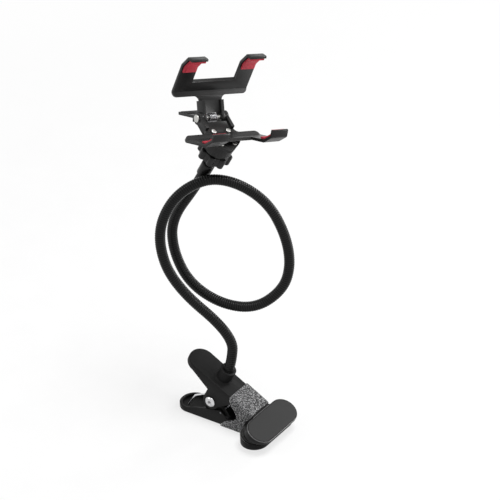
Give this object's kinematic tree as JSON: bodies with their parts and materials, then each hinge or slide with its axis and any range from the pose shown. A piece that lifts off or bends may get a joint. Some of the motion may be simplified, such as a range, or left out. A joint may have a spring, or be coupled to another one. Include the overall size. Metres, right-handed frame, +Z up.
{
  "type": "phone gooseneck holder",
  "caption": "Black phone holder: a spring desk clamp with an elastic band carries a looped ribbed gooseneck, a ball joint with a lobed ring, and a sprung clip with red finger pads.",
  "frame": {"origin": "the middle of the clamp's grip, on the plane where the two ribbed pads meet, which is the mount desk_clamp", "axes": "+Z up, +X from the clamp handles towards the grip pads, +Y across the jaws"},
  "size_m": [0.1327, 0.1079, 0.3532],
  "materials": {
    "jaw_plastic": "satin moulded",
    "grip_rubber": "ribbed",
    "rivet_steel": "bright",
    "spring_steel": "drawn wire",
    "band_fabric": "woven, heathered grey",
    "fixing_steel": "plain",
    "neck_cover": "ribbed black",
    "ferrule_black": "satin",
    "ball_steel": "satin",
    "clip_plastic": "half gloss",
    "red_rubber": "soft matt"
  },
  "bodies": {
    "clamp_lower": {"lower_jaw": "jaw_plastic", "lower_grip_pad": "grip_rubber", "pivot_rivet": "rivet_steel", "stop_pin": "rivet_steel", "elastic_band": "band_fabric", "clamp_spring": "spring_steel"},
    "clamp_upper": {"upper_jaw": "jaw_plastic", "upper_grip_pad": "grip_rubber", "base_plug": "jaw_plastic", "neck_washer": "fixing_steel", "neck_bolt": "fixing_steel", "gooseneck": "neck_cover"},
    "neck_end": {"top_ferrule": "ferrule_black"},
    "ball": {"ball_stud": "ball_steel"},
    "ring": {"lock_nut": "clip_plastic"},
    "clip": {"ball_socket": "clip_plastic", "socket_screws": "fixing_steel", "clip_lower_claw": "clip_plastic", "lower_left_pad": "red_rubber", "lower_right_pad": "red_rubber", "clip_pin": "fixing_steel", "clip_spring": "spring_steel"},
    "clip_upper": {"clip_upper_claw": "clip_plastic", "upper_left_pad": "red_rubber", "upper_right_pad": "red_rubber"}
  },
  "joints": [
    {"name": "clamp_open", "type": "hinge", "parent": "clamp_lower", "child": "clamp_upper", "pos_m": [-0.05559, 0, 0.01081], "axis": [0, -1, 0], "range_deg": [0, 50], "stiffness_Nm_per_rad": 1.6, "springref_deg": -51.57, "deforming": ["elastic_band", "clamp_spring"]},
    {"name": "neck_flex", "type": "hinge", "parent": "clamp_upper", "child": "neck_end", "pos_m": [-0.06963, 0.002, 0.13207], "axis": [0, 1, 0], "range_deg": [-25, 25], "deforming": ["gooseneck"]},
    {"name": "head_swivel", "type": "hinge", "parent": "neck_end", "child": "ball", "pos_m": [-0.07063, 0.019, 0.24907], "axis": [0.447, 0.0496, 0.8931], "continuous": true},
    {"name": "head_tilt", "type": "hinge", "parent": "ball", "child": "ring", "pos_m": [-0.07063, 0.019, 0.24907], "axis": [0.3596, 0.9043, -0.2302], "range_deg": [-30, 30]},
    {"name": "head_roll", "type": "hinge", "parent": "ring", "child": "clip", "pos_m": [-0.07063, 0.019, 0.24907], "axis": [0.447, 0.0496, 0.8931], "continuous": true},
    {"name": "clip_open", "type": "hinge", "parent": "clip", "child": "clip_upper", "pos_m": [-0.08233, 0.03006, 0.27424], "axis": [-0.3596, -0.9043, 0.2302], "range_deg": [-22, 25], "stiffness_Nm_per_rad": 0.6, "deforming": ["clip_spring"]}
  ]
}
